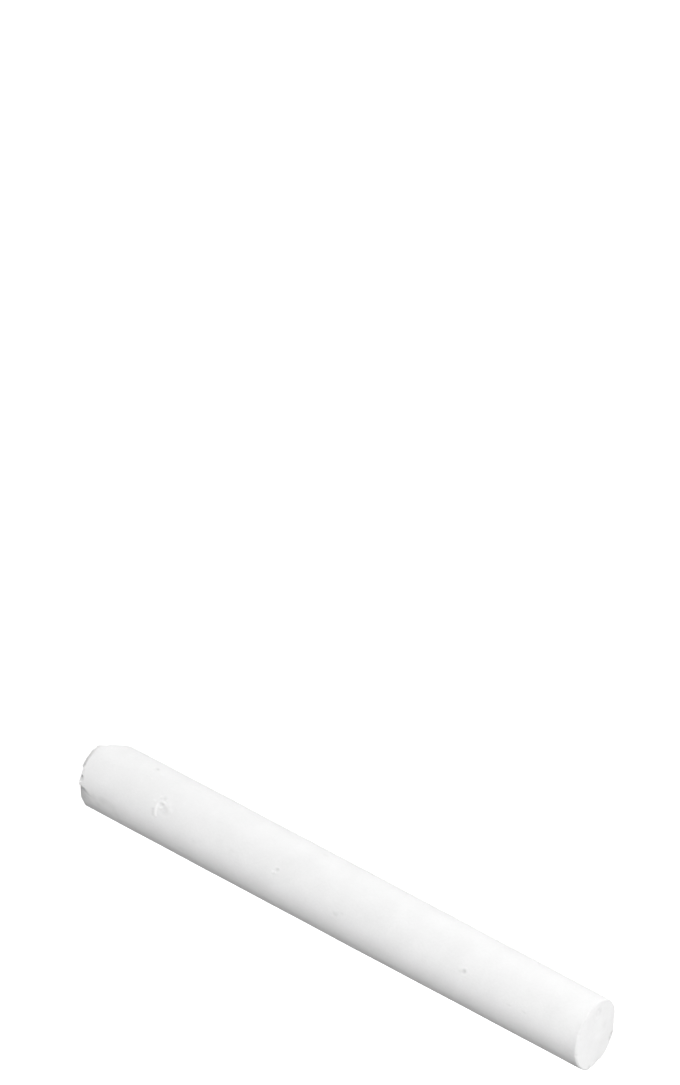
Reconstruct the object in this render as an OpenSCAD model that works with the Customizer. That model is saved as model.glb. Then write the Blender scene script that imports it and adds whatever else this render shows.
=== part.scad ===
// Chalk stick, moulded in one piece from gypsum chalk.
// It stands on its wide end with its axis on Z. The wide end's face lies on z = 0, and the
// small end's face, which is a little out of square, is at the top.
// Lengths are in millimetres. A turn is an angle about the axis in degrees: 0 is the front (-Y),
// 90 is the right (+X), 180 is the back (+Y) and 270 is the left (-X).

/* [Stick] */
// Height of the stick, from the wide end's face to the highest point of the small end
stick_length = 80; // [50:0.5:120]
// Diameter at the wide end, as if its edge were sharp
wide_d = 9.4; // [7:0.05:14]
// Diameter at the small end, as if its edge were sharp
small_d = 9.05; // [6.5:0.05:14]

/* [Wide end] */
// Height of the broken edge around the wide end
foot_edge_h = 0.7; // [0.1:0.05:1.2]
// Width of the broken edge around the wide end
foot_edge_w = 0.45; // [0.1:0.05:0.9]
// How far the worn corner reaches in from the wide end's sharp edge, across its face
worn_w = 1.3; // [0.5:0.05:1.6]
// How far the worn corner reaches up the side
worn_h = 2.6; // [1.2:0.1:5]
// Turn of the middle of the worn corner
worn_turn = 282; // [0:1:359]
// How far the crumbled edge reaches in from the wide end's sharp edge, across its face
crumbled_w = 1.1; // [0.5:0.05:1.6]
// How far the crumbled edge reaches up the side
crumbled_h = 1.5; // [0.8:0.1:3]
// Turn of the middle of the crumbled edge
crumbled_turn = 46; // [0:1:359]

/* [Small end] */
// Angle between the small end's face and a square cut
face_slant = 6.6; // [0:0.1:12]
// Turn of the side on which the stick is longest
face_slant_turn = 105; // [0:1:359]
// Width and depth of the broken edge around the small end
face_edge = 0.22; // [0.05:0.01:0.6]

/* [Air bubbles and chips] */
// Diameter of a middling air bubble that the mould face cut open
bubble_d = 1.1; // [0.6:0.1:1.6]
// Depth of the pit that such a bubble leaves
bubble_depth = 0.2; // [0.05:0.05:0.3]
// Distance of the small end's bubble from the axis
face_bubble_r = 3.1; // [0:0.1:3.2]
// Turn of the small end's bubble
face_bubble_turn = 310; // [0:1:359]
// Diameter of the ball-shaped chip beside the small end's rim
chip_d = 1.3; // [0.8:0.1:2]
// Depth of that chip
chip_depth = 0.3; // [0.1:0.05:0.4]
// Distance of that chip from the axis
chip_r = 4.1; // [3.3:0.1:4.3]
// Turn of that chip
chip_turn = 188; // [0:1:359]

/* [Hidden] */
$fn = 96;
wide_r = wide_d / 2;
small_r = small_d / 2;
// Radius of the flat part of the small end's face
face_flat_r = small_r - face_edge;
// Height of the middle of that face
face_z = stick_length - face_flat_r * sin(face_slant);
// Large enough to reach past the stick from any side
reach = 2 * (stick_length + wide_d + small_d);
// Pits in the side: [share of the stick's length, turn, size against a middling bubble]
SIDE_PITS = [
    [0.122, 308, 0.8],
    [0.168, 347, 1.0],
    [0.172, 2, 1.3],
    [0.181, 356, 0.9],
    [0.41, 7, 0.7],
    [0.78, 10, 1.0],
    [0.87, 24, 0.7]
];

// Radius of the tapered side at height z
function side_r(z) = wide_r + (small_r - wide_r) * z / stick_length;

// Turns a child's +X to face a given turn
module facing(turn) {
    rotate([0, 0, turn - 90])
        children();
}

// The tapered blank with the broken edge at its foot, left too long at the top
module blank() {
    blank_h = stick_length + small_r;
    rotate_extrude()
        polygon([
            [0, 0],
            [wide_r - foot_edge_w, 0],
            [side_r(foot_edge_h), foot_edge_h],
            [side_r(blank_h), blank_h],
            [0, blank_h]
        ]);
}

// Everything below the small end's slanted face and inside its broken edge
module below_face() {
    facing(face_slant_turn)
        translate([0, 0, face_z])
            rotate([0, -face_slant, 0])
                rotate_extrude()
                    polygon([
                        [0, 0],
                        [face_flat_r, 0],
                        [reach, face_flat_r - reach],
                        [reach, -2 * reach],
                        [0, -2 * reach]
                    ]);
}

// Everything beyond one slanted flat across the wide end's corner: w across the end's face from
// its sharp edge, and h up the side
module lost_corner(w, h, turn) {
    run = side_r(h) - wide_r + w;
    facing(turn)
        translate([wide_r - w, 0, 0])
            rotate([0, atan2(run, h), 0])
                translate([0, -wide_d, -wide_d])
                    cube(2 * wide_d);
}

// The wear of the wide end: a rubbed corner on the left and a crumbled edge on the right
module foot_wear() {
    lost_corner(worn_w, worn_h, worn_turn);
    lost_corner(crumbled_w, crumbled_h, crumbled_turn);
}

// Air bubbles that the mould face cut open along the side
module side_pits() {
    for (pit = SIDE_PITS) {
        pit_z = pit[0] * stick_length;
        facing(pit[1])
            translate([side_r(pit_z) + pit[2] * (bubble_d / 2 - bubble_depth), 0, pit_z])
                sphere(d = pit[2] * bubble_d);
    }
}

// A ball that leaves a pit in the small end's face, at a distance from the axis and a turn
module face_pit(r, turn, d, depth) {
    facing(face_slant_turn)
        translate([0, 0, face_z])
            rotate([0, -face_slant, 0])
                rotate([0, 0, turn - face_slant_turn])
                    translate([r, 0, d / 2 - depth])
                        sphere(d = d);
}

// The small end's flaws: an open bubble in its face, and a chip beside its rim
module face_flaws() {
    face_pit(face_bubble_r, face_bubble_turn, bubble_d, bubble_depth);
    face_pit(chip_r, chip_turn, chip_d, chip_depth);
}

module chalk_stick() {
    color("whitesmoke")
        difference() {
            intersection() {
                blank();
                below_face();
            }
            foot_wear();
            side_pits();
            face_flaws();
        }
}

chalk_stick();
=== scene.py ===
# %% [markdown]
# # A stick of blackboard chalk
# A stick of school chalk is one lump of gypsum. Wet plaster is poured into a row of tapered
# tubes, sets in a few minutes and is pushed out, and the taper is what lets it go. It has no
# other part, so this lesson is about one surface: how a very plain shape is made to look like
# a real thing, with its worn corner, its open air bubbles and its powdery skin.
#
# The stick's true size comes from a CAD model that is loaded first. It stands on its wide
# end with its axis on Z. The front is -Y, and a "turn" is an angle about the axis: 0 at the
# front, 90 on the right (+X), 180 at the back and 270 on the left. Lengths below are in
# millimetres until the mesh is made, because that is how such a stick is measured.

# %% Load the CAD model
import bpy
import numpy as np
from mathutils import Matrix, Vector


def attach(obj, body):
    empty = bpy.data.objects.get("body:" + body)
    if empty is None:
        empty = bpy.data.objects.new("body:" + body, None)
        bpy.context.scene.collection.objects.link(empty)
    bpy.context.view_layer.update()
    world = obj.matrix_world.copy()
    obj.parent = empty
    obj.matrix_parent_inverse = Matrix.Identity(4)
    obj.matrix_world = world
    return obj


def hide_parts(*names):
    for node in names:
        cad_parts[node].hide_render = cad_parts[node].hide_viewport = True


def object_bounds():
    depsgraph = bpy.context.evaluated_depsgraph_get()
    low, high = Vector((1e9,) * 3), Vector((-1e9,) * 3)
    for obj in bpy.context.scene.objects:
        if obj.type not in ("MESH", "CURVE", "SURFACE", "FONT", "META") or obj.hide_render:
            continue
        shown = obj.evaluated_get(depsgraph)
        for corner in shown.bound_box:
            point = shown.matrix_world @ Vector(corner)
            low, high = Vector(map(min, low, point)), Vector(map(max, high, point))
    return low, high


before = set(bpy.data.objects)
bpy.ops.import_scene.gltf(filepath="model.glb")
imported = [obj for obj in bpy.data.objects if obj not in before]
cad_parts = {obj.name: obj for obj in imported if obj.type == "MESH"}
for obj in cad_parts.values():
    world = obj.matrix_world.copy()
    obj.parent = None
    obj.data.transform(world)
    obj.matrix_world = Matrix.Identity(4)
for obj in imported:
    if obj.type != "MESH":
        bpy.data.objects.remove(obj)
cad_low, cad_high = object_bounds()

MM = 0.001  # Blender's unit is the metre
cad_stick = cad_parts["chalk_stick"]
height = (cad_high.z - cad_low.z) / MM
print(f"the stick is {height:.1f} mm tall")

# %% [markdown]
# ## Measuring what the surface has to fit
# The finished surface will stand in for the CAD stick, so it has to be the same size. The
# sizes could be typed in again, but then the two could disagree. Reading them off the CAD
# mesh is safer: the widest point near the foot, the widest near the tip, and the slant of
# the upper face, which is the mean direction of the triangles that look upwards there.

# %% Measure the CAD stick
FOOT_ZONE, TIP_ZONE = 2, 3  # mm from each end in which its widest point is looked for
UPWARD = 0.97  # a triangle whose direction points up by at least this much looks upwards

corners = np.array([v.co for v in cad_stick.data.vertices]) / MM
corner_r = np.hypot(corners[:, 0], corners[:, 1])
foot_r = corner_r[corners[:, 2] < FOOT_ZONE].max()
tip_r = corner_r[corners[:, 2] > height - TIP_ZONE].max()

upper_part = 0.9 * height * MM
flats = [p for p in cad_stick.data.polygons if p.normal.z > UPWARD and p.center.z > upper_part]
areas = np.array([p.area for p in flats])
normal = np.average([p.normal for p in flats], axis=0, weights=areas)
middle = np.average([p.center for p in flats], axis=0, weights=areas) / MM
slope_x, slope_y = -normal[0] / normal[2], -normal[1] / normal[2]
face_z = middle[2] - slope_x * middle[0] - slope_y * middle[1]
print(f"radius {foot_r:.2f} mm at the foot and {tip_r:.2f} mm at the tip")
print(f"upper face {face_z:.2f} mm up, sloping {np.degrees(np.arctan(slope_x)):.1f} degrees")

# %% [markdown]
# ## The grid
# The whole skin of the stick is one sheet with two parameters. One is the turn about the
# axis. The other is a path that starts at the middle of the foot, runs out to its edge,
# crosses its bevel, climbs the side, rounds the upper edge and runs in to the middle of the
# upper face. Spinning a cylinder primitive would also do, but a sheet of our own lets the grid
# lines crowd together where there is something to see, and spread out where there isn't.

# %% Crowd the grid lines
FINE_STEPS = 4000


def stations(start, end, count, crowds=()):
    """count values from start to end. Their density is 1 everywhere plus, for each crowd
    (centre, reach, gain), gain times a bell curve exp(-((x - centre) / reach)^2). The density
    is summed up along the line, and equal steps of that sum give the values."""
    fine = np.linspace(start, end, FINE_STEPS)
    density = np.ones_like(fine)
    for centre, reach, gain in crowds:
        density += gain * np.exp(-(((fine - centre) / reach) ** 2))
    total = np.concatenate([[0], np.cumsum((density[1:] + density[:-1]) / 2)])
    return np.interp(np.linspace(0, total[-1], count), total, fine)


COLUMNS = 360
# centre and reach in degrees, gain: the marks in front and the crumbled stretch of the foot
TURN_CROWDS = [(8, 30, 1.6), (50, 25, 0.7)]
turn = np.radians(stations(-180, 180, COLUMNS + 1, TURN_CROWDS)[:-1])[None, :]
print(f"{COLUMNS} columns, at least {np.diff(turn).min() * foot_r:.3f} mm apart")

# %% [markdown]
# ## The foot's edge
# The foot's edge was broken to a narrow bevel when the stick was pushed out. On the right of
# the front a stretch of it has since crumbled away in flakes, and there the bevel is two to
# three times as wide. It starts abruptly, at a break, and fades out further round. A boolean
# could cut each flake, but it is simpler to let the bevel's width, height and roundness depend
# on the turn. A short table gives them where they change, and the turns between are filled in.

# %% Size the foot's bevel all the way round
# width and height in mm, roundness: 1 is a flat bevel and 2 a quarter of an ellipse
SOUND_BEVEL = (0.48, 0.72, 1.15)
# the turn, and the same three there
FOOT_BEVEL = np.array([
    (-180, *SOUND_BEVEL), (5, *SOUND_BEVEL),
    # three flakes of the crumbled stretch: a shallow one, a cleft and another shallow one
    (9, 1.38, 0.77, 1.15), (17, 1.32, 0.78, 1.15), (20, 1.06, 1.10, 1.15),
    (28, 1.05, 1.10, 1.15), (31, 1.10, 0.64, 1.15), (34, 1.14, 0.72, 1.20),
    # the longest flake, which reaches furthest up the side and is worn round
    (38, 1.48, 1.90, 1.45), (46, 1.38, 2.90, 1.55), (54, 1.28, 3.00, 1.55),
    (62, 1.10, 2.70, 1.50), (75, 0.80, 1.70, 1.40),
    (90, *SOUND_BEVEL), (180, *SOUND_BEVEL),
])
RAGGED_SHARE = 0.05  # how far the bevel's size wavers along the edge, as a share of it

turn_deg = np.degrees(turn)
bevel_w, bevel_h, bevel_round = (np.interp(turn_deg, FOOT_BEVEL[:, 0], FOOT_BEVEL[:, k])
                                 for k in (1, 2, 3))
# three waves whose lengths don't fit into each other, so that the edge doesn't repeat; they
# don't fit the full turn either, which leaves a step of about 0.03 mm at the back
ragged = (0.5 * np.sin(0.31 * turn_deg + 0.7) + 0.3 * np.sin(0.83 * turn_deg)
          + 0.2 * np.sin(1.7 * turn_deg + 2))
bevel_w = bevel_w * (1 + RAGGED_SHARE * ragged)
bevel_h = bevel_h * (1 + RAGGED_SHARE * ragged)
print(f"the bevel is {bevel_w.min():.2f} to {bevel_w.max():.2f} mm wide")

# %% [markdown]
# ## The path of the skin
# Each stretch of the path is a short formula: a straight line for each face, a nearly
# straight one for the side, and a superellipse for each edge. With an exponent of 2 that curve
# is a plain quarter ellipse, and with 1 it is a flat bevel. Between the two it is a bevel with
# soft edges, as on real plaster. Beside the radius and the height goes the share of the upper
# face's slant that applies: none at the foot, all of it at the tip.

# %% Formulas for the edges and the side
FULLNESS = 0.045  # mm


def edge(squareness, count):
    """A quarter of a superellipse from (0, 0) to (1, 1): 1 - cos(a)^(2/n) one way and
    sin(a)^(2/n) the other, as a goes from 0 to a right angle and n is the squareness."""
    a = np.linspace(0, np.pi / 2, count)[:, None]
    return 1 - np.cos(a).clip(0) ** (2 / squareness), np.sin(a) ** (2 / squareness)


def side_radius(z):
    """A straight taper from the foot to the tip, made fuller by FULLNESS sin(pi z / height)."""
    return np.interp(z, [0, face_z], [foot_r, tip_r]) + FULLNESS * np.sin(np.pi * z / height)


print(f"half way up the radius is {side_radius(height / 2):.2f} mm")

# %% Lay out the path
TIP_EDGE, TIP_SQUARENESS = 0.22, 1.6  # width and height in mm of the tip's edge, its roundness
FOOT_ROWS, BEVEL_ROWS, SIDE_ROWS, RIM_ROWS, TIP_ROWS = 15, 13, 200, 9, 38
# height and reach in mm, gain: the groups of marks on the side and its two ends
MARK_HEIGHTS = [(1.6, 1.4, 2.5), (9.7, 1.3, 2.5), (13.5, 1.7, 6.0), (32.4, 0.9, 3.5),
                (42.6, 0.9, 1.0), (62.0, 0.8, 3.5), (70.4, 1.8, 1.5), (79.0, 1.0, 2.0)]
LIFT_REACH = 4  # mm of the side over which its rows are moved up to make way for a high bevel
SLANT_REACH = 6  # mm below the top at which the slant starts to come on

side_low, side_high = SOUND_BEVEL[1], face_z - TIP_EDGE
side_z = stations(side_low, side_high, SIDE_ROWS, MARK_HEIGHTS)[1:-1, None]
side_r = side_radius(side_z)
# shares of the way out to the rim; a power below 1 draws them towards it
foot_in = np.linspace(0, 1, FOOT_ROWS)[1:-1, None] ** 0.8
tip_in = np.linspace(1, 0, TIP_ROWS)[1:-1, None] ** 0.9
foot_up, foot_out = edge(bevel_round, BEVEL_ROWS)
tip_back, tip_up = edge(TIP_SQUARENESS, RIM_ROWS)
ones = np.ones_like(turn)
lift = (bevel_h - side_low) * np.clip(1 - (side_z - side_low) / LIFT_REACH, 0, None)

row_r = np.concatenate([
    foot_in * (foot_r - bevel_w), foot_r - bevel_w * (1 - foot_out), side_r * ones,
    tip_r - TIP_EDGE * tip_back * ones, tip_in * (tip_r - TIP_EDGE) * ones,
])
row_z = np.concatenate([
    foot_in * 0 * ones, bevel_h * foot_up, side_z + lift,
    face_z - TIP_EDGE * (1 - tip_up) * ones, face_z + tip_in * 0 * ones,
])
slant_from = height - SLANT_REACH
slant_share = np.clip((row_z - slant_from) / (side_high - slant_from), 0, 1)
first_side = len(foot_in) + len(foot_up)
first_tip = first_side + len(side_z)
on_side = np.zeros((len(row_r), 1))
on_side[first_side:first_tip] = 1
print(f"{len(row_r)} rows, {2 * row_r.size} triangles")

# %% [markdown]
# ## The swell and the rings
# A cast stick isn't a perfect taper. Drying pulls it a hundredth of a millimetre or so out of
# true, and the mould leaves faint rings where it was polished or where the stick stuck as it
# was pushed. Both are sums of waves round and along the stick: long ones for the swell,
# short ones for the rings. A noise texture could give the same, but a wave with a whole number of
# rounds closes on itself exactly, with no seam.

# %% Waves round and along the stick
chance = np.random.default_rng(24)


def waves(turn, z, count, rounds, lengths, size):
    """The sum of count cosines. Each has a whole number of rounds about the axis up to the
    given one, a wavelength along the stick between the two lengths in mm, and its own phase;
    the sum is scaled so that its usual swing is size."""
    total = np.zeros(np.broadcast(turn, z).shape)
    for _ in range(count):
        around = chance.integers(0, rounds + 1)
        along = 2 * np.pi / chance.uniform(*lengths)
        phase = chance.uniform(0, 2 * np.pi)
        total += np.cos(around * turn + along * z + phase)
    return total * size / np.sqrt(count / 2)


swell = waves(turn, row_z, count=7, rounds=3, lengths=(11, 34), size=0.007)
rings = waves(turn, row_z, count=12, rounds=2, lengths=(0.7, 2.4), size=0.0012)
rings *= 1 + 0.6 * waves(turn, row_z, count=4, rounds=3, lengths=(9, 20), size=1)
print(f"the swell moves the side by up to {np.abs(swell).max():.3f} mm")
print(f"the rings move it by up to {np.abs(rings).max():.3f} mm")

# %% Spin the path into a surface
SWELL_FADE = 0.5  # mm from each end over which the swell fades out
near_side = np.clip(np.minimum(row_z, face_z - row_z) / SWELL_FADE, 0, 1)
radius = row_r + swell * near_side + rings * on_side
X = radius * np.sin(turn)
Y = -radius * np.cos(turn)
Z = row_z + slant_share * (slope_x * X + slope_y * Y)
P = np.stack([X, Y, Z], axis=-1)
print("surface spun:", P.shape)

# %% [markdown]
# ## The worn corner
# One side of the wide end is rubbed away, as when a stick is dropped or used on its corner.
# The CAD model cuts it with one flat plane. Here the same plane is used softly: a point that
# lies beyond the plane by some distance is pushed back by softplus(distance), a curve that is
# nearly nothing on the inside, nearly the distance itself on the outside, and bends smoothly
# between. That rounds the two edges of the flat as wear does, which a boolean cut can't. A
# second, steeper plane softens the ridge where the flat meets the side.

# %% Rub the corner away
def facing(turn_deg, upward_deg=0.0):
    """The direction that looks out at a turn and rises by an angle, both in degrees."""
    t, u = np.radians(turn_deg), np.radians(upward_deg)
    return np.array([np.sin(t) * np.cos(u), -np.cos(t) * np.cos(u), np.sin(u)])


def rub(points, on_plane, outward, softness, rough):
    """Pushes points back to a plane: p becomes p - n softness log(1 + exp(d / softness)),
    where n is the plane's outward direction and d the distance beyond it, plus rough."""
    d = (points - on_plane) @ outward + rough
    push = softness * np.logaddexp(0, d / softness)
    return points - push[..., None] * outward


# the turn of the worn corner, and how far it reaches in across the foot and up the side in mm
WORN_TURN, WORN_W, WORN_H = 282, 1.3, 2.6
RIDGE_W, RIDGE_TILT = 0.40, 9  # the same reach in of the second plane, and its tilt in degrees
FLAT_SOFTNESS, RIDGE_SOFTNESS = 0.09, 0.05  # mm

worn_tilt = np.degrees(np.arctan2(WORN_W, WORN_H))
# three times the turn gives waves three times as fine round the stick
rough = waves(turn * 3, row_z, count=10, rounds=9, lengths=(0.5, 1.6), size=0.010)
for reach_in, tilt, softness in ((WORN_W, worn_tilt, FLAT_SOFTNESS),
                                 (RIDGE_W, RIDGE_TILT, RIDGE_SOFTNESS)):
    on_plane = facing(WORN_TURN) * (foot_r - reach_in)
    P = rub(P, on_plane, facing(WORN_TURN, -tilt), softness, rough)
print("corner worn to", round(float(P[:first_side, :, 0].min()), 2), "mm on the left")

# %% [markdown]
# ## Bubbles, dents and chips
# Plaster traps air. A bubble against the mould leaves a round pit once the stick is out, and
# handling adds dents, a burr and crumbled bits of rim. Each is a small push inwards, or
# outwards for a burr or crumb, whose depth falls off away from its middle. The distance
# is measured straight through space, so the same function works on the side, on the face and
# over a rim. A texture bump would shade these but leave the outline smooth; here the outline
# is broken too. A pit gets less light than a small render can show, so each flaw may also get
# painted shade, a grey mixed into its colour, which is kept in an array of its own for the
# material. What stands up, such as a burr, a crumb or a lump, gets a painted highlight instead,
# a white a little whiter than the skin, kept as negative painted shade. Where a crumb was
# knocked off a rim there is a pit and no painted shade. The sound part of the foot's bevel,
# which faces down and away from the light, gets painted shade too.

# %% The shapes of the flaws
def bowl(q):
    """1 at the middle, 0 at q = 1 and beyond, with a soft floor and a firm lip: (1 - q^2)^2."""
    return np.clip(1 - q ** 2, 0, None) ** 2


def paint_shading(painted_shading, painted_shade, shape):
    """Painted shade where the amount is positive: at least the amount times shape, inside the
    shape. Where it is negative it is a painted highlight, and that much is taken off instead."""
    if painted_shade > 0:
        return np.where(shape > 0, np.maximum(painted_shading, painted_shade * shape), painted_shading)
    return painted_shading + painted_shade * shape


def pit(points, painted_shading, centre, inward, reach, depth, lip=0.0, painted_shade=0.0):
    """Moves points along inward by depth bowl(q), less a raised lip exp(-((q - 1.15) / 0.3)^2),
    where q is the distance from the centre over the reach. The painted shade, a painted
    highlight where it is negative, has the shape bowl(0.9 q)."""
    q = np.linalg.norm(points - centre, axis=-1) / reach
    push = depth * bowl(q) - lip * np.exp(-(((q - 1.15) / 0.3) ** 2))
    return points + push[..., None] * inward, paint_shading(painted_shading, painted_shade, bowl(0.9 * q))


def furrow(points, painted_shading, start, end, inward, width, depth, bend=0.0, painted_shade=0.0):
    """A groove, or with a negative depth a burr, along the line from start to end, which bows
    sideways by bend: depth bowl(q), with q the distance from the nearest point of it over the
    width."""
    along = (end - start) / np.linalg.norm(end - start)
    share = np.clip(((points - start) @ along) / np.linalg.norm(end - start), 0, 1)[..., None]
    bow = 4 * share * (1 - share) * bend * np.cross(inward, along)
    nearest = start + share * (end - start) + bow
    q = np.linalg.norm(points - nearest, axis=-1) / width
    # painted shade where the amount is positive, painted highlight where it is negative
    return points + (depth * bowl(q))[..., None] * inward, paint_shading(painted_shading, painted_shade, bowl(q))


def side_point(z, turn_deg):
    """The place on the tapered side at a height and a turn."""
    return facing(turn_deg) * side_radius(z) + np.array([0, 0, z])


print("a bowl is", [round(float(bowl(q)), 2) for q in (0, 0.5, 1)], "deep at q = 0, 0.5 and 1")

# %% Paint shade on the foot's bevel
# turn and painted shade: the sound bevel gets painted shade, and the crumbled stretch from 6 to 92
# doesn't
BEVEL_PAINTED_SHADE = np.array([
    (-180, 0.30), (-150, 0.40), (-110, 0.30), (-60, 0.20), (-34, 0.10), (-22, 0.55),
    (3, 0.55), (6, 0.00), (92, 0.00), (105, 0.30), (140, 0.40), (180, 0.30),
])
# 1 in the middle of the bevel and 0 at its edges
across = np.sin(np.linspace(0, np.pi, len(foot_up)))[:, None] ** 0.5
# painted shade for each point, negative for a painted highlight; first on the bevel, which faces
# down and away from the light
painted_shading = np.zeros(P.shape[:2])
painted_shading[len(foot_in):first_side] = across * np.interp(turn_deg, BEVEL_PAINTED_SHADE[:, 0], BEVEL_PAINTED_SHADE[:, 1])
print(f"stain on the bevel: up to {painted_shading.max():.2f}")

# %% Mark the side
# height, turn, reach, depth, lip and painted shade, in mm but for the turn and the painted shade;
# negative painted shade is a painted highlight
SIDE_FLAWS = [
    # the open bubble low on the left, with crumbs beside it
    (9.4, -51, 0.32, 0.14, 0.03, 0.45), (8.7, -49, 0.26, -0.07, 0, -0.3),
    (10.5, -47, 0.45, -0.03, 0, -0.2), (9.3, -42, 0.22, -0.06, 0, -0.3),
    (9.95, -29, 0.20, -0.06, 0, -0.6), (9.2, -31, 0.18, -0.05, 0, -0.4),
    # the bruise in front: a pit, dents and crumbs
    (13.35, 1.5, 0.40, 0.15, 0.03, 0.22), (13.4, -8, 0.50, 0.07, 0.01, 0.14),
    (14.2, 9, 0.75, 0.09, 0.01, 0.15), (14.0, 4, 0.45, 0.05, 0, 0.12),
    (13.65, -3, 0.28, -0.09, 0, -0.5), (13.85, -8, 0.26, -0.05, 0, -0.3),
    (12.85, -9.5, 0.30, -0.05, 0, -0.3), (12.20, 0.5, 0.24, -0.05, 0, -0.5),
    (14.5, -4, 0.45, -0.04, 0, -0.25), (14.95, 3, 0.45, -0.04, 0, -0.25),
    # shallow dents above the crumbled edge
    (4.6, 45, 0.90, 0.05, 0, 0.18), (6.3, 46, 0.85, 0.04, 0, 0.14),
    (3.1, 48, 0.80, 0.05, 0, 0.12), (6.9, 58, 0.70, 0.04, 0, 0.12),
    (5.3, 41, 0.55, 0.03, 0, 0.10), (3.9, 56, 0.60, 0.04, 0, 0.12),
    # single bubbles and dimples further up
    (32.5, 7, 0.36, 0.10, 0.02, 0.30), (32.1, 12, 0.32, -0.09, 0, -0.5),
    (62.0, 10, 0.42, 0.12, 0.02, 0.40), (61.5, 13, 0.34, 0.04, 0, 0.15),
    (69.3, 24, 0.30, 0.04, 0, 0.15), (71.5, 23, 0.28, 0.04, 0, 0.12),
    (57.9, 21, 0.30, 0.03, 0, 0.12), (42.4, 26, 0.50, 0.05, 0.01, 0.20),
    (43.1, 20, 0.30, 0.03, 0, 0.15), (25.4, 14, 0.45, 0.03, 0, 0.08),
    (19.5, 30, 0.45, 0.03, 0, 0.08), (17.6, 56, 0.50, 0.04, 0, 0.10),
    (51.0, -35, 0.35, 0.03, 0, 0.10), (36.4, -58, 0.30, 0.04, 0, 0.15),
    # the same kinds on the back
    (22.0, 140, 0.40, 0.12, 0.01, 0.60), (47.5, 205, 0.34, 0.10, 0.01, 0.50),
    (66.0, 118, 0.38, 0.08, 0.01, 0.35), (35.0, 262, 0.30, 0.08, 0, 0.40),
    (11.0, 95, 0.45, 0.06, 0, 0.20), (73.0, 170, 0.26, 0.06, 0, 0.35),
    (56.0, 250, 0.45, 0.03, 0, 0.10), (29.5, 190, 0.50, 0.04, 0, 0.12),
]
# height and turn of the start and of the end, width, depth, bend and painted shade: a groove with
# painted shade, a burr with a painted highlight
FURROWS = [
    ((12.38, 13.5), (12.66, 22.5), 0.24, 0.05, 0.04, 0.18),
    ((12.84, 4), (13.12, 20), 0.31, -0.09, 0.12, -1.1),
]
for z, at_turn, reach, depth, lip, painted_shade in SIDE_FLAWS:
    P, painted_shading = pit(P, painted_shading, side_point(z, at_turn), -facing(at_turn), reach, depth, lip, painted_shade)
for (z1, turn1), (z2, turn2), width, depth, bend, painted_shade in FURROWS:
    inward = -facing((turn1 + turn2) / 2)
    P, painted_shading = furrow(P, painted_shading, side_point(z1, turn1), side_point(z2, turn2), inward,
                     width, depth, bend, painted_shade)
print(len(SIDE_FLAWS), "flaws, a groove and a burr on the side")

# %% [markdown]
# ## The upper face
# The upper face was the open top of the mould, scraped level with a blade. It is slightly
# rough, it falls away a little behind a faint break line and gets painted shade there for
# that tilt, a bubble burst in it, and a bit of it is chipped out at the back. Its rim is crisp
# in front and worn at the back: two planes rub it, as at the foot, and crumbs are drawn by lot
# with more of them behind than in front.

# %% Scrape the face
face_normal = np.array([-slope_x, -slope_y, 1]) / np.linalg.norm([slope_x, slope_y, 1])


def face_point(x, y):
    """The place on the slanted upper face above (x, y)."""
    return np.array([x, y, face_z + slope_x * x + slope_y * y])


BREAK_Y, BREAK_SOFTNESS = 1.25, 0.25  # mm: where the break line crosses x = 0, how soft it is
FALL = 0.05  # how steeply the face falls away behind it
BREAK_PAINTED_SHADE, BREAK_SHADE_REACH = 0.055, 1.2  # the painted shade behind it, and the mm over which that comes on
RUBBED_TURNS, RUBBED_IN, RUB_SOFTNESS = (140, 222), 0.36, 0.04  # degrees, then mm

# 1 on the face, and 0 from half a millimetre below it
on_face = np.clip((P @ face_normal - face_point(0, 0) @ face_normal + 0.5) / 0.4, 0, 1)
x, y = P[..., 0], P[..., 1]
# the ripples that the blade left, in mm
scrape = (0.006 * np.cos(3.1 * x + 1.3 * y + 0.6) + 0.005 * np.cos(1.2 * x - 4.3 * y)
          + 0.004 * np.cos(7.3 * x + 5.1 * y))
past_break = y - BREAK_Y + 0.35 * np.sin(1.1 * x)
behind = BREAK_SOFTNESS * np.logaddexp(0, past_break / BREAK_SOFTNESS)
P = P - ((scrape + FALL * behind) * on_face)[..., None] * face_normal
# painted shade on the band behind the break line, which tilts away from the light
painted_shading = painted_shading + BREAK_PAINTED_SHADE * np.clip(past_break / BREAK_SHADE_REACH, 0, 1) * on_face
for at_turn in RUBBED_TURNS:
    outward = facing(at_turn, 45)
    rim = face_point(*(facing(at_turn)[:2] * tip_r))
    P = rub(P, rim - RUBBED_IN * outward, outward, RUB_SOFTNESS, rough)
print(f"the face falls by up to {FALL * behind.max():.2f} mm behind its break line")

# %% Mark the face
# x, y, reach, depth, lip and painted shade; negative painted shade is a painted highlight
FACE_FLAWS = [
    # the burst bubble with painted shade, and its raised floor with a painted highlight
    (-2.4, -1.8, 0.75, 0.10, 0.03, 0.16), (-2.4, -1.8, 0.40, -0.09, 0, -0.30),
    # dents and lumps
    (-1.4, 0.9, 0.9, 0.05, 0, 0.10), (-1.7, -0.6, 0.6, -0.02, 0, -0.10),
    (0.2, 0.2, 0.8, -0.02, 0, -0.12), (3.9, 1.4, 0.45, 0.06, 0, 0.35),
    (2.6, 2.9, 0.5, 0.05, 0, 0.20),
    # the chip, in two bites, with painted shade inside
    (-0.95, 3.80, 0.45, 0.20, 0.01, 0.55), (-0.45, 3.85, 0.45, 0.20, 0.01, 0.55),
]
for at_x, at_y, reach, depth, lip, painted_shade in FACE_FLAWS:
    P, painted_shading = pit(P, painted_shading, face_point(at_x, at_y), -face_normal, reach, depth, lip, painted_shade)
print(len(FACE_FLAWS), "flaws on the face")


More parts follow.
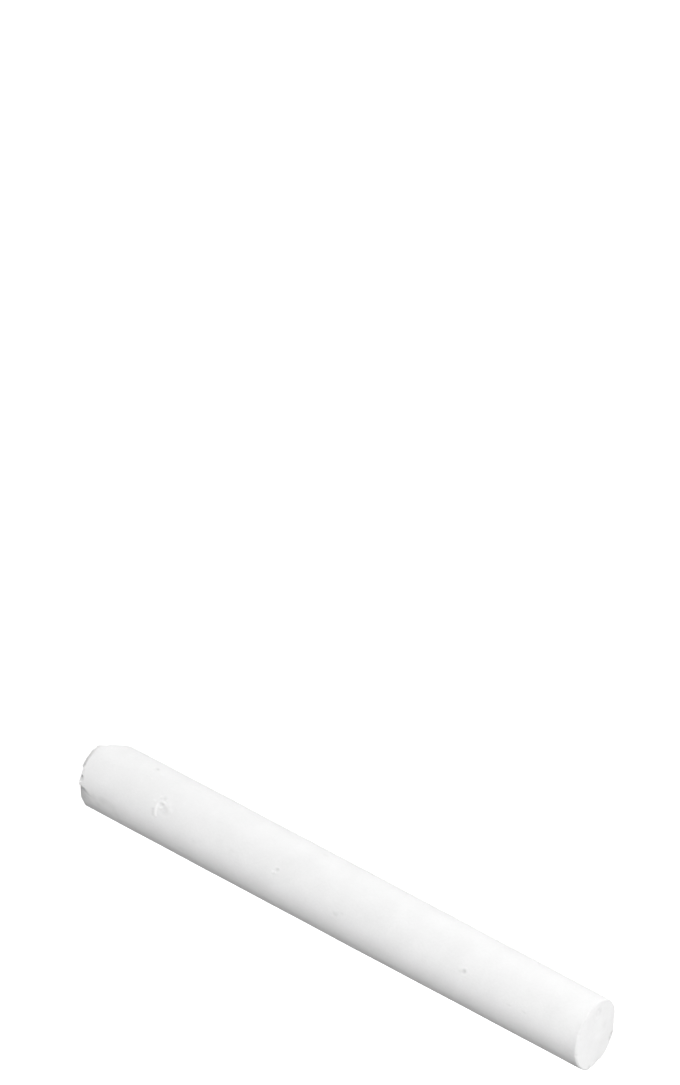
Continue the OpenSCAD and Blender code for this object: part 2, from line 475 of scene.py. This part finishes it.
# %% Crumble the rims
def crumble(points, painted_shading, rim_r, rim_z, upward_deg, count, spread, worst_turn, reaches):
    """Knocks count crumbs off a rim that faces upward_deg above the horizon. Their turns gather
    round worst_turn with the given spread, their reaches lie between the two given, and each is
    pushed in by an eighth to a third of its reach."""
    for _ in range(count):
        at_turn = chance.normal(worst_turn, spread)
        reach = chance.uniform(*reaches)
        spot = facing(at_turn) * rim_r
        spot[2] = rim_z + (slope_x * spot[0] + slope_y * spot[1] if upward_deg > 0 else 0)
        depth = reach * chance.uniform(0.12, 0.32)
        points, painted_shading = pit(points, painted_shading, spot, -facing(at_turn, upward_deg), reach, depth)
    return points, painted_shading


TIP_CRUMBS, FOOT_CRUMBS = 46, 40
P, painted_shading = crumble(P, painted_shading, tip_r, face_z, upward_deg=40, count=TIP_CRUMBS,
                  spread=62, worst_turn=160, reaches=(0.15, 0.38))
# the foot's rim is taken as about the middle of its bevel
P, painted_shading = crumble(P, painted_shading, foot_r - 0.2, 0.2, upward_deg=-35, count=FOOT_CRUMBS,
                  spread=100, worst_turn=300, reaches=(0.15, 0.4))
P[..., 2] = np.maximum(P[..., 2], 0)
print(TIP_CRUMBS, "crumbs off the tip's rim and", FOOT_CRUMBS, "off the foot's")

# %% [markdown]
# ## From arrays to a mesh
# The grid becomes quads by joining each point to its neighbours; the turn wraps round, so
# the last column joins the first. The two ends of the path stop just short of the axis, and
# one point at the middle of each face closes them with a fan of triangles. That leaves no
# hole and no doubled points, so the mesh is a closed solid. The painted shade and highlight
# go along as an attribute, one number for each point, which the material can read by its name.

# %% Make the mesh
def closed_mesh(name, grid, low_pole, high_pole):
    """A mesh of a grid of rows and columns that wraps round, closed by a point at each end."""
    rows, cols = grid.shape[:2]
    points = np.concatenate([grid.reshape(-1, 3), [low_pole, high_pole]])
    index = np.arange(rows * cols).reshape(rows, cols)
    beside = np.roll(index, -1, axis=1)
    quads = np.stack([index[:-1], beside[:-1], beside[1:], index[1:]], axis=-1).reshape(-1, 4)
    low = np.stack([beside[0], index[0], np.full(cols, rows * cols)], axis=-1)
    high = np.stack([index[-1], beside[-1], np.full(cols, rows * cols + 1)], axis=-1)
    loops = np.concatenate([quads.ravel(), low.ravel(), high.ravel()])
    sizes = np.concatenate([np.full(len(quads), 4), np.full(len(low) + len(high), 3)])
    starts = np.concatenate([[0], np.cumsum(sizes)[:-1]])
    mesh = bpy.data.meshes.new(name)
    mesh.vertices.add(len(points))
    mesh.vertices.foreach_set("co", (points * MM).ravel())
    mesh.loops.add(len(loops))
    mesh.loops.foreach_set("vertex_index", loops)
    mesh.polygons.add(len(sizes))
    mesh.polygons.foreach_set("loop_start", starts)
    mesh.polygons.foreach_set("use_smooth", np.ones(len(sizes), bool))
    mesh.update(calc_edges=True)
    mesh.validate()
    return mesh


low_pole = np.array([0, 0, P[0, :, 2].mean()])
high_pole = P[-1].mean(axis=0)
stick = bpy.data.objects.new("moulded_chalk", closed_mesh("moulded_chalk", P, low_pole, high_pole))
bpy.context.collection.objects.link(stick)
# the painted shade and painted highlight of each point, for the material
painted_shading_layer = stick.data.attributes.new("painted_shading", "FLOAT", "POINT")
painted_shading_layer.data.foreach_set("value", np.append(painted_shading.ravel(), [0, 0]))
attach(stick, "root")
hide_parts("chalk_stick")
print(len(stick.data.vertices), "points,", len(stick.data.polygons), "faces")

# %% [markdown]
# ## The finish: moulded gypsum
# Set gypsum is a felt of tiny white needles with air between them. Light goes in and comes
# out again in every direction, so chalk is very white, has no gloss at all, and stays bright
# even where light only grazes it. That calls for a high base colour, nearly full roughness,
# full diffuse roughness and almost no specular. The variation is faint: cloudy patches a few
# millimetres across where the plaster dried unevenly, and a fine grain. All the patterns read
# Object coordinates through a Mapping node that turns metres into millimetres, so every Scale
# below is simply "how many to the millimetre". The streaks pass a second Mapping node, which
# draws them out round the stick. The painted shade that was kept for each point then mixes in
# a grey, and where it is negative a painted highlight of a whiter white. A picture painted on
# the stick could do that too, but an attribute needs no unwrapping and no picture file.

# %% One helper for colours and one for nodes
def linear(hex_colour):
    """Turns an sRGB colour such as #f2f1ef into the linear RGBA that Blender works in."""
    value = np.array([int(hex_colour[i:i + 2], 16) for i in (1, 3, 5)]) / 255
    value = np.where(value <= 0.04045, value / 12.92, ((value + 0.055) / 1.055) ** 2.4)
    return (*value, 1.0)


def add_node(tree, kind, inputs=None, **settings):
    """Adds a node, sets its settings, and fills its inputs from values or from other nodes'
    outputs. Inputs are given by name or by number."""
    node = tree.nodes.new(kind)
    for key, value in settings.items():
        setattr(node, key, value)
    for key, value in (inputs or {}).items():
        if isinstance(value, bpy.types.NodeSocket):
            tree.links.new(value, node.inputs[key])
        else:
            node.inputs[key].default_value = value
    return node


# %% Moulded gypsum chalk
DULL_WHITE, CLEAN_WHITE = "#f2f2f2", "#f5f5f5"  # the two ends of the cloudy patches
# the white of the painted highlight and the grey of the painted shade
PAINTED_HIGHLIGHT_WHITE, PAINTED_SHADE_GREY = "#fdfdfd", "#c4c4c3"
GRAIN_BUMP, STREAK_BUMP, PORE_BUMP = 0.030, 0.040, 0.010  # mm high before the bump's strength


def moulded_gypsum():
    """Moulded gypsum chalk: white, powdery, without gloss, faintly cloudy and finely grained."""
    material = bpy.data.materials.new("moulded_gypsum_chalk")
    material.use_nodes = True
    tree = material.node_tree
    tree.nodes.clear()
    place = add_node(tree, "ShaderNodeTexCoord")
    in_mm = add_node(tree, "ShaderNodeMapping", {
        "Vector": place.outputs["Object"], "Scale": (1000,) * 3})
    around = add_node(tree, "ShaderNodeMapping", {
        "Vector": in_mm.outputs[0], "Scale": (0.18, 0.18, 1)})

    # the patterns: clouds, grain, streaks round the stick, and pores
    clouds = add_node(tree, "ShaderNodeTexNoise", {
        "Vector": in_mm.outputs[0], "Scale": 0.35, "Detail": 4})
    grain = add_node(tree, "ShaderNodeTexNoise", {
        "Vector": in_mm.outputs[0], "Scale": 3.2, "Detail": 4})
    streaks = add_node(tree, "ShaderNodeTexNoise", {
        "Vector": around.outputs[0], "Scale": 1.6, "Detail": 3})
    pores = add_node(tree, "ShaderNodeTexVoronoi", {"Vector": in_mm.outputs[0], "Scale": 1.3})
    pore = add_node(tree, "ShaderNodeMapRange", {
        "Value": pores.outputs["Distance"], "From Min": 0.04, "From Max": 0.16,
        "To Min": 0.0, "To Max": 1.0})

    # the colour: clouds, darkened a little by the grain, then painted highlight and painted shade
    tone = add_node(tree, "ShaderNodeMapRange", {
        "Value": clouds.outputs["Fac"], "From Min": 0.3, "From Max": 0.7})
    cloudy = add_node(tree, "ShaderNodeMix", {
        "Factor": tone.outputs[0], 6: linear(DULL_WHITE), 7: linear(CLEAN_WHITE),
    }, data_type="RGBA")
    fine = add_node(tree, "ShaderNodeMapRange", {
        "Value": grain.outputs["Fac"], "From Min": 0.3, "From Max": 0.7,
        "To Min": 0.975, "To Max": 1.0})
    white = add_node(tree, "ShaderNodeVectorMath", {
        0: cloudy.outputs[2], 1: fine.outputs[0]}, operation="MULTIPLY")
    painted_shading_here = add_node(tree, "ShaderNodeAttribute", attribute_name="painted_shading")
    painted_highlight_here = add_node(tree, "ShaderNodeMath", {
        0: painted_shading_here.outputs["Fac"], 1: -1.0}, operation="MULTIPLY", use_clamp=True)
    highlighted = add_node(tree, "ShaderNodeMix", {
        "Factor": painted_highlight_here.outputs[0], 6: white.outputs[0], 7: linear(PAINTED_HIGHLIGHT_WHITE),
    }, data_type="RGBA")
    shaded = add_node(tree, "ShaderNodeMix", {
        "Factor": painted_shading_here.outputs["Fac"], 6: highlighted.outputs[2], 7: linear(PAINTED_SHADE_GREY),
    }, data_type="RGBA")

    # the bump: grain, streaks and pores, added up in millimetres
    high = add_node(tree, "ShaderNodeMath", {
        0: grain.outputs["Fac"], 1: GRAIN_BUMP}, operation="MULTIPLY")
    higher = add_node(tree, "ShaderNodeMath", {
        0: streaks.outputs["Fac"], 1: STREAK_BUMP, 2: high.outputs[0]}, operation="MULTIPLY_ADD")
    highest = add_node(tree, "ShaderNodeMath", {
        0: pore.outputs[0], 1: PORE_BUMP, 2: higher.outputs[0]}, operation="MULTIPLY_ADD")
    bump = add_node(tree, "ShaderNodeBump", {
        "Height": highest.outputs[0], "Distance": MM, "Strength": 0.6})

    shader = add_node(tree, "ShaderNodeBsdfPrincipled", {
        "Base Color": shaded.outputs[2], "Normal": bump.outputs[0], "Roughness": 0.95,
        "Diffuse Roughness": 1.0, "IOR": 1.52, "Specular IOR Level": 0.15,
    })
    add_node(tree, "ShaderNodeOutputMaterial", {"Surface": shader.outputs[0]})
    return material


stick.data.materials.append(moulded_gypsum())
print("finish:", stick.data.materials[0].name)

# %% [markdown]
# ## Floor
# The stick stands on a sheet of opal plastic that is lit from below, as product
# photographers use for small white things. It stays white where the stick would shade it, so
# only a faint shadow is left at the foot. A plain white card could serve, but it would need so
# much light that the chalk on it would be blank. The sheet is a diffuse surface with some
# light of its own, and it is hidden from the light that bounces between surfaces, so that it
# doesn't fill the shaded side of the stick.

# %% Lay the floor
SHEET_GLOW = 0.75  # how strongly the sheet shines by itself
FLOOR_REACH = 60  # from its middle to its edge, in stick heights


def lit_opal_sheet():
    """Opal plastic lit from below: white, even and without gloss, with some light of its own."""
    material = bpy.data.materials.new("lit_opal_sheet")
    material.use_nodes = True
    shader = material.node_tree.nodes["Principled BSDF"]
    shader.inputs["Base Color"].default_value = linear("#f4f4f4")
    shader.inputs["Roughness"].default_value = 1.0
    shader.inputs["Specular IOR Level"].default_value = 0.0
    shader.inputs["Emission Color"].default_value = linear("#ffffff")
    shader.inputs["Emission Strength"].default_value = SHEET_GLOW
    return material


half = FLOOR_REACH * height * MM
floor_corners = [(-half, -half, 0), (half, -half, 0), (half, half, 0), (-half, half, 0)]
floor_mesh = bpy.data.meshes.new("floor")
floor_mesh.from_pydata(floor_corners, [], [(0, 1, 2, 3)])
floor = bpy.data.objects.new("floor", floor_mesh)
floor.data.materials.append(lit_opal_sheet())
floor.visible_diffuse = False
bpy.context.collection.objects.link(floor)
print(f"floor {2 * half:.1f} m wide")

# %% [markdown]
# ## Camera
# A long lens looks down at the stick from the front. The camera is rolled a third of a turn,
# so that the standing stick lies across the picture from upper left to lower right with its
# upper face towards us. It is aimed at a point beside the foot, which places the stick in the
# lower half of the picture. Every distance is a share of the stick's height.

# %% Place the camera
ASIDE, UP = -0.4993, 0.1962  # from the middle of the foot to the aim, in stick heights
DISTANCE = 8.454  # from the aim to the camera, in stick heights
ELEVATION, SWING, ROLL = np.radians([30.0, 3.9, 116.0])
SENSOR, LENS = 36, 176.5  # mm

aim = Vector(((cad_low.x + cad_high.x) / 2, (cad_low.y + cad_high.y) / 2, cad_low.z))
aim += Vector((ASIDE, 0, UP)) * height * MM
distance = DISTANCE * height * MM
level = np.cos(ELEVATION)
back = Vector((np.sin(SWING) * level, -np.cos(SWING) * level, np.sin(ELEVATION)))

camera = bpy.data.objects.new("camera", bpy.data.cameras.new("camera"))
camera.data.sensor_width = SENSOR
camera.data.lens = LENS
camera.data.clip_start, camera.data.clip_end = 0.05, 50  # metres
turned = (-back).to_track_quat("-Z", "Y").to_matrix().to_4x4() @ Matrix.Rotation(ROLL, 4, "Z")
camera.matrix_world = Matrix.Translation(aim + back * distance) @ turned
bpy.context.collection.objects.link(camera)
bpy.context.scene.camera = camera
print("camera", [round(v / MM) for v in camera.location], "mm")

# %% [markdown]
# ## Light
# White on white only reads if one side is darker than the other. Two soft boxes stand in
# front and to the left of it, a little above the stick. Where both reach, the side is
# brightest; towards the right one drops out and then the other, and the shade deepens
# smoothly to grey. One light could do as well, but its shade would end in a hard turn. Three
# more stand behind: a high one for the upper face, and two low ones so that the back is white
# too. They are too far round to lighten more than the last of the shaded edge. The
# surroundings are white to look at and give no light, because light from everywhere would
# wash the shape out.

# %% Light it
AWAY = 9  # from the middle of the stick to each light, in stick heights


def soft_box(name, turn_deg, upward_deg, size, watts):
    """A square light, size stick heights across, that looks at the middle of the stick from a
    turn and an angle above the horizon."""
    light = bpy.data.objects.new(name, bpy.data.lights.new(name, "AREA"))
    light.data.shape = "SQUARE"
    light.data.size = size * height * MM
    light.data.energy = watts
    light.visible_camera = False
    towards = Vector(facing(turn_deg, upward_deg))
    middle = Vector((0, 0, height * MM / 2))
    light.matrix_world = (Matrix.Translation(middle + towards * AWAY * height * MM)
                          @ towards.to_track_quat("Z", "Y").to_matrix().to_4x4())
    bpy.context.collection.objects.link(light)


# name, turn, angle above the horizon, size and watts
SOFT_BOXES = [
    ("front", 0, 24, 6, 1.92),
    ("front_left", 335, 24, 6, 3.86),
    ("high_behind", 180, 50, 8, 2.07),
    ("low_right_behind", 140, 15, 6, 3.4),
    ("low_left_behind", 215, 17, 6, 1.8),
]
for box in SOFT_BOXES:
    soft_box(*box)
print(len(SOFT_BOXES), "soft boxes")

world = bpy.data.worlds.new("white_room")
world.use_nodes = True
world.node_tree.nodes["Background"].inputs["Color"].default_value = linear("#ffffff")
world.cycles_visibility.diffuse = False
world.cycles_visibility.glossy = False
bpy.context.scene.world = world
bpy.context.scene.view_settings.view_transform = "Standard"

# %% [markdown]
# ## The CAD model's size
# The last step prints the size of the CAD model's box.

# %% Print the CAD model's size
print("CAD box", [round(v / MM, 2) for v in cad_high - cad_low], "mm")
